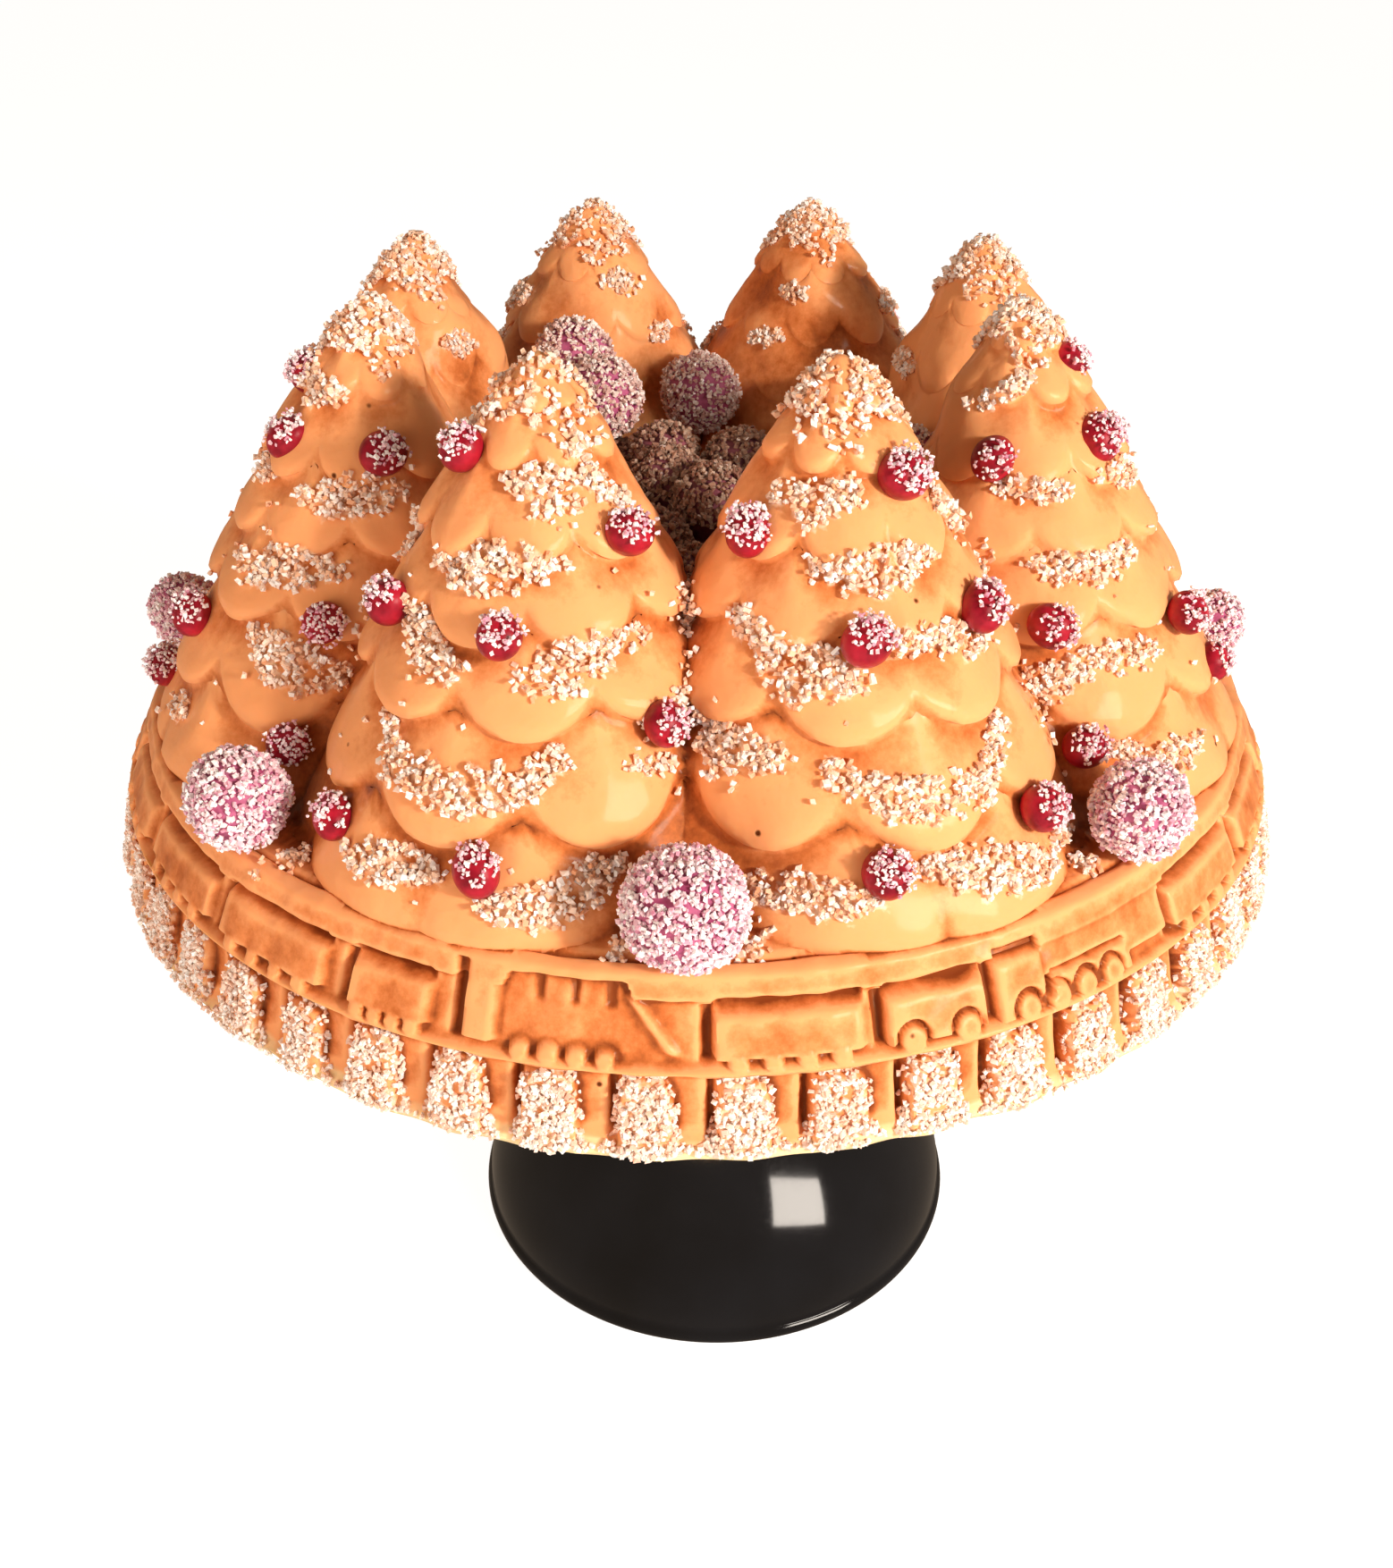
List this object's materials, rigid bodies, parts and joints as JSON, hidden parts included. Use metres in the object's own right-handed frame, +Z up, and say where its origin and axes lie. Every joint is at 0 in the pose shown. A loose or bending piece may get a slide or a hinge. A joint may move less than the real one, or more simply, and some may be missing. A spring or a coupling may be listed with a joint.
{
  "type": "bundt cake",
  "caption": "Ring cake shaped as a circle of fir trees over a band with a train and track, set with sugared berries, on a black pedestal stand.",
  "frame": {"origin": "on the table, on the axis of the ring cake, which is the middle of the whole object's footprint; the stand's foot is centred 5 mm towards +X of it", "axes": "+Z up along the axis of the ring cake, -Y is the front, +X is to the right seen from the front"},
  "size_m": [0.2594, 0.2594, 0.2451],
  "materials": {
    "cake": "smooth glossy caramel crust with small pinholes",
    "red_berry": "glossy red berry skin",
    "big_berry": "purple berry coated with coarse sugar",
    "berry_heap": "purple berries coated with coarse sugar",
    "stand": "glossy black glaze"
  },
  "bodies": {
    "root": {"cake": "cake", "stand": "stand", "berry_heap": "berry_heap", "big_berry_01": "big_berry", "big_berry_02": "big_berry", "big_berry_03": "big_berry", "big_berry_04": "big_berry", "big_berry_05": "big_berry", "big_berry_06": "big_berry", "big_berry_07": "big_berry", "big_berry_08": "big_berry", "big_berry_09": "big_berry", "big_berry_10": "big_berry", "big_berry_11": "big_berry", "big_berry_12": "big_berry", "big_berry_13": "big_berry", "big_berry_14": "big_berry", "red_berry_01": "red_berry", "red_berry_02": "red_berry", "red_berry_03": "red_berry", "red_berry_04": "red_berry", "red_berry_05": "red_berry", "red_berry_06": "red_berry", "red_berry_07": "red_berry", "red_berry_08": "red_berry", "red_berry_09": "red_berry", "red_berry_10": "red_berry", "red_berry_11": "red_berry", "red_berry_12": "red_berry", "red_berry_13": "red_berry", "red_berry_14": "red_berry", "red_berry_15": "red_berry", "red_berry_16": "red_berry", "red_berry_17": "red_berry", "red_berry_18": "red_berry", "red_berry_19": "red_berry", "red_berry_20": "red_berry", "red_berry_21": "red_berry", "red_berry_22": "red_berry", "red_berry_23": "red_berry", "red_berry_24": "red_berry", "red_berry_25": "red_berry", "red_berry_26": "red_berry", "red_berry_27": "red_berry", "red_berry_28": "red_berry", "red_berry_29": "red_berry", "red_berry_30": "red_berry", "red_berry_31": "red_berry", "red_berry_32": "red_berry", "red_berry_33": "red_berry", "red_berry_34": "red_berry", "red_berry_35": "red_berry", "red_berry_36": "red_berry", "red_berry_37": "red_berry", "red_berry_38": "red_berry", "red_berry_39": "red_berry", "red_berry_40": "red_berry", "red_berry_41": "red_berry", "red_berry_42": "red_berry", "red_berry_43": "red_berry"}
  },
  "joints": []
}
